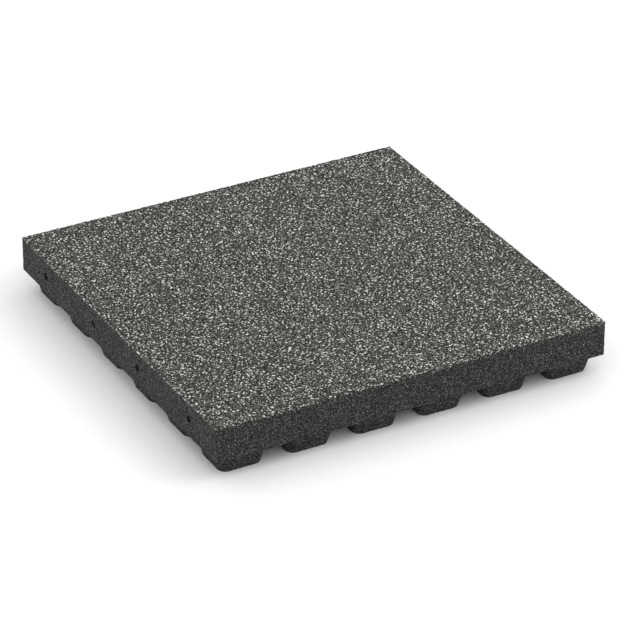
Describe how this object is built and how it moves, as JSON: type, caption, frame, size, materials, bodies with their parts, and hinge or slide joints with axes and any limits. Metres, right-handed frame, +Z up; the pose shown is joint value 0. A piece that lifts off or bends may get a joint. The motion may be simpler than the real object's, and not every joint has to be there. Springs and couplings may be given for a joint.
{
  "type": "rubber safety tile",
  "caption": "Square shock-absorbing floor tile pressed from bonded rubber granulate, with drafted feet, drainage channels below and dowel holes in two opposite sides.",
  "frame": {"origin": "middle of the square that the feet stand on, at floor level", "axes": "+Z up, from the feet to the tread face; the dowel holes are in the -X and +X sides; the -Y and +Y sides are plain"},
  "size_m": [0.5, 0.5, 0.067],
  "materials": {
    "rubber_granulate": "matte open-grained granulate, with a speckled grey tread face"
  },
  "bodies": {
    "root": {"safety_tile": "rubber_granulate"}
  },
  "joints": []
}
